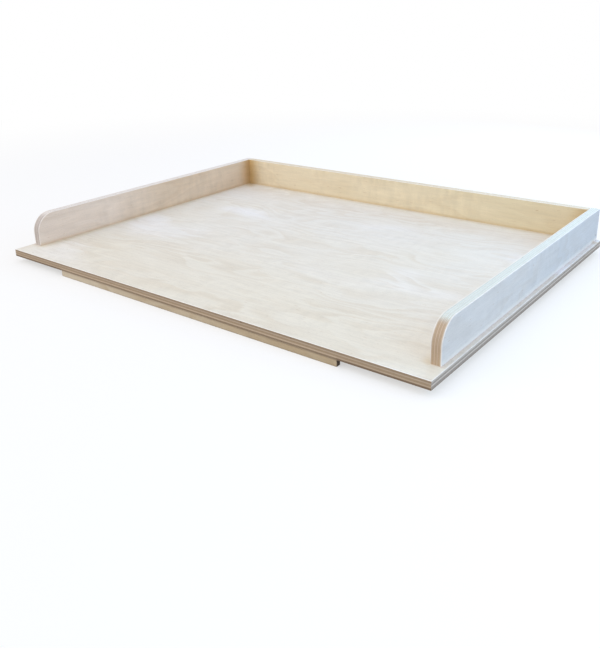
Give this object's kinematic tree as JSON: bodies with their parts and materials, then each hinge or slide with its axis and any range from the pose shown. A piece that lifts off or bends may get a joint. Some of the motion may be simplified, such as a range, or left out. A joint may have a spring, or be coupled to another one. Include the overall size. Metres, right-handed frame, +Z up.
{
  "type": "pastry board",
  "caption": "Plywood pastry board: flat work panel with low walls at the left, rear and right, rounded front wall corners, and a front stop that hooks over a table edge.",
  "frame": {"origin": "middle of the work panel's underside, the face that lies on the table", "axes": "+X to the right along the open front edge, +Y from the open front to the rear wall, +Z up out of the work face"},
  "size_m": [0.8, 0.6, 0.076],
  "materials": {
    "panel_birch": "pale sanded birch veneer, plies showing at the edges",
    "wall_birch": "pale sanded birch veneer, plies showing at the edges",
    "stop_birch": "sanded strip with the plies showing along its faces",
    "screw_steel": "zinc plated",
    "nail_steel": "bright drawn wire"
  },
  "bodies": {
    "root": {"work_panel": "panel_birch", "left_wall": "wall_birch", "right_wall": "wall_birch", "rear_wall": "wall_birch", "stop_batten": "stop_birch", "left_wall_screw_1": "screw_steel", "left_wall_screw_2": "screw_steel", "left_wall_screw_3": "screw_steel", "left_wall_screw_4": "screw_steel", "right_wall_screw_1": "screw_steel", "right_wall_screw_2": "screw_steel", "right_wall_screw_3": "screw_steel", "right_wall_screw_4": "screw_steel", "rear_wall_screw_1": "screw_steel", "rear_wall_screw_2": "screw_steel", "rear_wall_screw_3": "screw_steel", "rear_wall_screw_4": "screw_steel", "rear_wall_screw_5": "screw_steel", "stop_pin_1": "nail_steel", "stop_pin_2": "nail_steel", "stop_pin_3": "nail_steel", "stop_pin_4": "nail_steel", "stop_pin_5": "nail_steel", "left_corner_nail_1": "nail_steel", "left_corner_nail_2": "nail_steel", "right_corner_nail_1": "nail_steel", "right_corner_nail_2": "nail_steel"}
  },
  "joints": []
}
